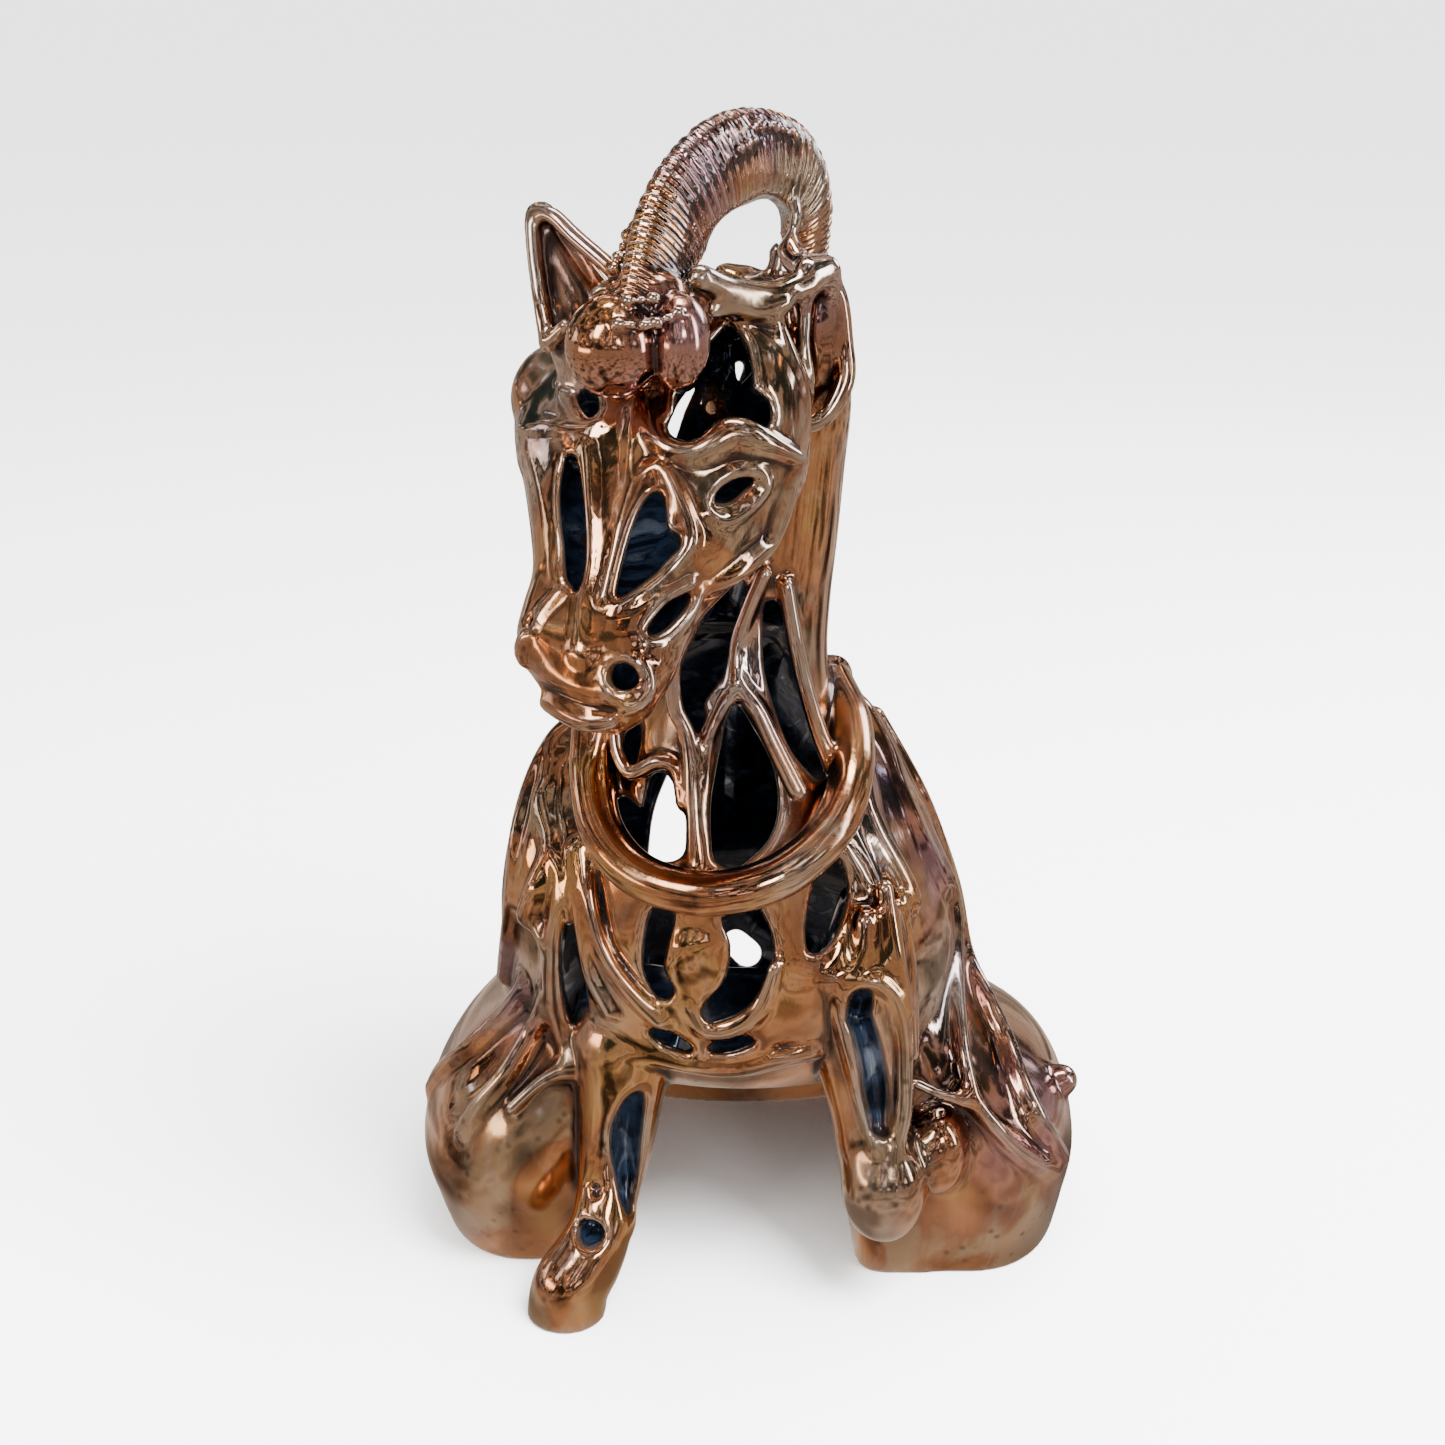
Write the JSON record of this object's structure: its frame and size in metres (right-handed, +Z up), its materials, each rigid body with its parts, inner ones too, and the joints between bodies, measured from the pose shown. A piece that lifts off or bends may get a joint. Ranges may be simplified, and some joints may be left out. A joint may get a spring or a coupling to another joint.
{
  "type": "openwork horse sculpture",
  "caption": "Hollow openwork horse figure seated on its haunches, with an arched mane, breast collar and pierced body, cast in one piece.",
  "frame": {"origin": "under the middle of the bounding box, on the plane that the haunches, rump and forefoot stand on", "axes": "+Z up; the chest looks along -Y; +X is to the right of a viewer who faces the chest"},
  "size_m": [0.2636, 0.2784, 0.4229],
  "materials": {
    "lustre_bronze": "mirror-polished bronze with an iridescent copper, gold and violet lustre, near-black inside the openings"
  },
  "bodies": {
    "root": {"horse": "lustre_bronze"}
  },
  "joints": []
}
